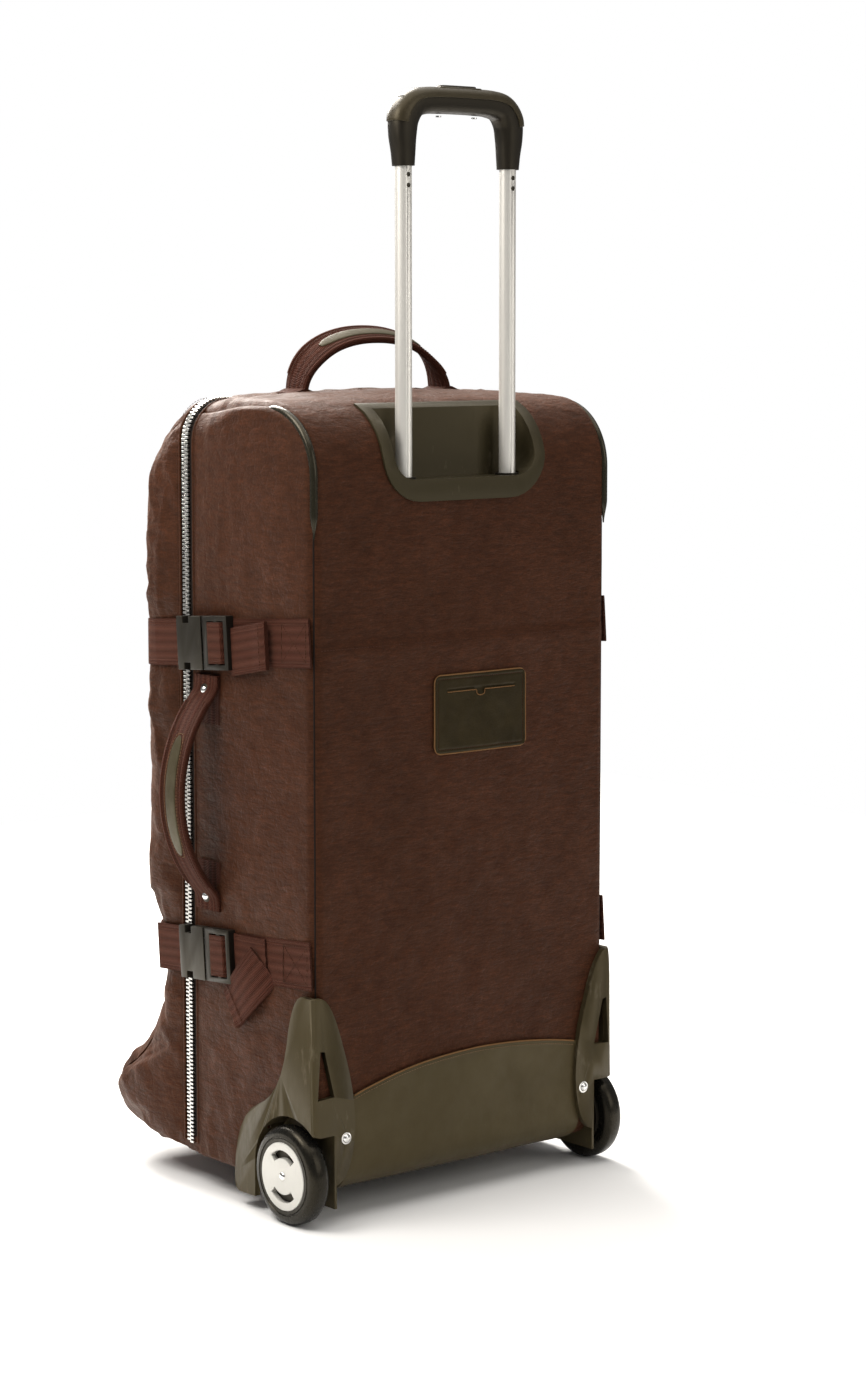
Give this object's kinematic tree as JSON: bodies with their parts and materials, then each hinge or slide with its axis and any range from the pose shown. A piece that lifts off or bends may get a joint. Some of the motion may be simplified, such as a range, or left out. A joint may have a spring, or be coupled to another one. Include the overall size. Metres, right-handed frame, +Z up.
{
  "type": "wheeled trolley suitcase",
  "caption": "Large soft-sided upright trolley case with recessed wheels, telescopic pull handle, strap-closed zipped lid, carry handles and moulded corner guards.",
  "frame": {"origin": "on the floor, at the centre of the stand foot's flat underside", "axes": "+X across the case to its right seen from behind, +Y towards the lid (front), +Z up; the middle plane of case, wheels and trolley handle is x = 0"},
  "size_m": [0.4326, 0.3802, 1.0725],
  "materials": {
    "case_fabric": "matte crinkled nylon, brown",
    "webbing": "ribbed maroon webbing",
    "olive_plastic": "moulded satin olive plastic",
    "black_plastic": "satin black plastic",
    "frame_board": "matte plastic board",
    "lining": "thin lining cloth",
    "spring_steel": "drawn spring steel",
    "tube_aluminium": "matte anodised silver",
    "steel": "bright plated steel",
    "scuff_fabric": "rubber-coated olive cloth",
    "leather": "smooth dark olive leather with a raw edge",
    "piping": "glossy dark green-black",
    "zip": "plated teeth and sliders on dark tape",
    "tyre": "smooth glossy black",
    "hub_plastic": "black moulded",
    "hub_cap": "silver painted"
  },
  "bodies": {
    "rear_body": {"rear_shell": "case_fabric", "back_board": "frame_board", "lining_panel": "lining", "base_tray": "frame_board", "edge_frame": "spring_steel", "trolley_bezel": "olive_plastic", "bezel_screws": "steel", "outer_tube_l": "tube_aluminium", "outer_tube_r": "tube_aluminium", "tube_bushings": "black_plastic", "tube_foot": "black_plastic", "scuff_panel": "scuff_fabric", "wheel_housing_l": "olive_plastic", "wheel_housing_r": "olive_plastic", "housing_bolts": "steel", "axle_l": "steel", "axle_r": "steel", "piping_l": "piping", "piping_r": "piping", "address_patch": "leather", "stand_foot": "black_plastic", "rear_straps": "webbing", "strap_tails": "webbing", "buckle_prongs": "black_plastic", "handle_tabs": "webbing", "handle_rivets": "steel", "top_handle_feet": "webbing", "rear_zip": "zip"},
    "lid": {"lid_shell": "case_fabric", "lid_zip": "zip", "upper_pocket": "case_fabric", "lower_pocket": "case_fabric", "upper_pocket_zip": "zip", "lower_pocket_zip": "zip", "front_straps": "webbing", "buckle_bodies": "black_plastic"},
    "wheel_l": {"tyre_l": "tyre", "hub_l": "hub_plastic", "hub_cap_l": "hub_cap", "bearings_l": "steel"},
    "wheel_r": {"tyre_r": "tyre", "hub_r": "hub_plastic", "hub_cap_r": "hub_cap", "bearings_r": "steel"},
    "trolley": {"inner_tubes": "tube_aluminium", "grip_lower": "black_plastic", "grip_upper": "olive_plastic", "grip_rivets": "steel", "grip_screws": "steel", "lock_plugs": "black_plastic"},
    "button": {"push_button": "black_plastic", "button_yoke": "steel"},
    "pin_l": {"lock_pin_l": "steel"},
    "pin_r": {"lock_pin_r": "steel"},
    "top_handle": {"top_handle": "webbing"},
    "side_handle": {"side_handle": "webbing"},
    "zip_slider": {"zip_slider": "zip"},
    "zip_pull": {"zip_pull": "zip"},
    "upper_pocket_pull": {"upper_pocket_pull": "zip"},
    "lower_pocket_pull": {"lower_pocket_pull": "zip"}
  },
  "joints": [
    {"name": "lid_hinge", "type": "hinge", "parent": "rear_body", "child": "lid", "pos_m": [0, 0.04, 0.03], "axis": [-1, 0, 0], "range_deg": [0, 110]},
    {"name": "handle_slide", "type": "slide", "parent": "rear_body", "child": "trolley", "axis": [0, 0, 1], "range_m": [-0.287, 0]},
    {"name": "button_press", "type": "slide", "parent": "trolley", "child": "button", "axis": [0, 0, -1], "range_m": [0, 0.003], "stiffness_N_per_m": 1500, "springref_m": -0.002},
    {"name": "pin_slide_l", "type": "slide", "parent": "trolley", "child": "pin_l", "axis": [1, 0, 0], "range_m": [0, 0.0015]},
    {"name": "pin_slide_r", "type": "slide", "parent": "trolley", "child": "pin_r", "axis": [-1, 0, 0], "range_m": [0, 0.0015]},
    {"name": "wheel_spin_l", "type": "hinge", "parent": "rear_body", "child": "wheel_l", "pos_m": [-0.18, -0.1287, 0.0475], "axis": [1, 0, 0], "continuous": true},
    {"name": "wheel_spin_r", "type": "hinge", "parent": "rear_body", "child": "wheel_r", "pos_m": [0.18, -0.1287, 0.0475], "axis": [1, 0, 0], "continuous": true},
    {"name": "top_handle_swing", "type": "hinge", "parent": "rear_body", "child": "top_handle", "pos_m": [0, -0.013, 0.784], "axis": [1, 0, 0], "range_deg": [-40, 40], "stiffness_Nm_per_rad": 0.4},
    {"name": "side_handle_swing", "type": "hinge", "parent": "rear_body", "child": "side_handle", "pos_m": [-0.188, 0.003, 0.398], "axis": [0, 0, 1], "range_deg": [-35, 35]},
    {"name": "zip_run", "type": "slide", "parent": "rear_body", "child": "zip_slider", "axis": [0, 0, 1], "range_m": [-0.16, 0.022]},
    {"name": "zip_pull_swing", "type": "hinge", "parent": "zip_slider", "child": "zip_pull", "pos_m": [0.1893, 0.04, 0.484], "axis": [0, -1, 0], "range_deg": [0, 90]},
    {"name": "upper_pocket_zip_run", "type": "slide", "parent": "lid", "child": "upper_pocket_pull", "axis": [1, 0, 0], "range_m": [0, 0.22]},
    {"name": "lower_pocket_zip_run", "type": "slide", "parent": "lid", "child": "lower_pocket_pull", "axis": [1, 0, 0], "range_m": [0, 0.22]}
  ],
  "couplings": [
    {"joint": "pin_slide_l", "follows": "button_press", "ratio": 0.5},
    {"joint": "pin_slide_r", "follows": "button_press", "ratio": 0.5}
  ]
}
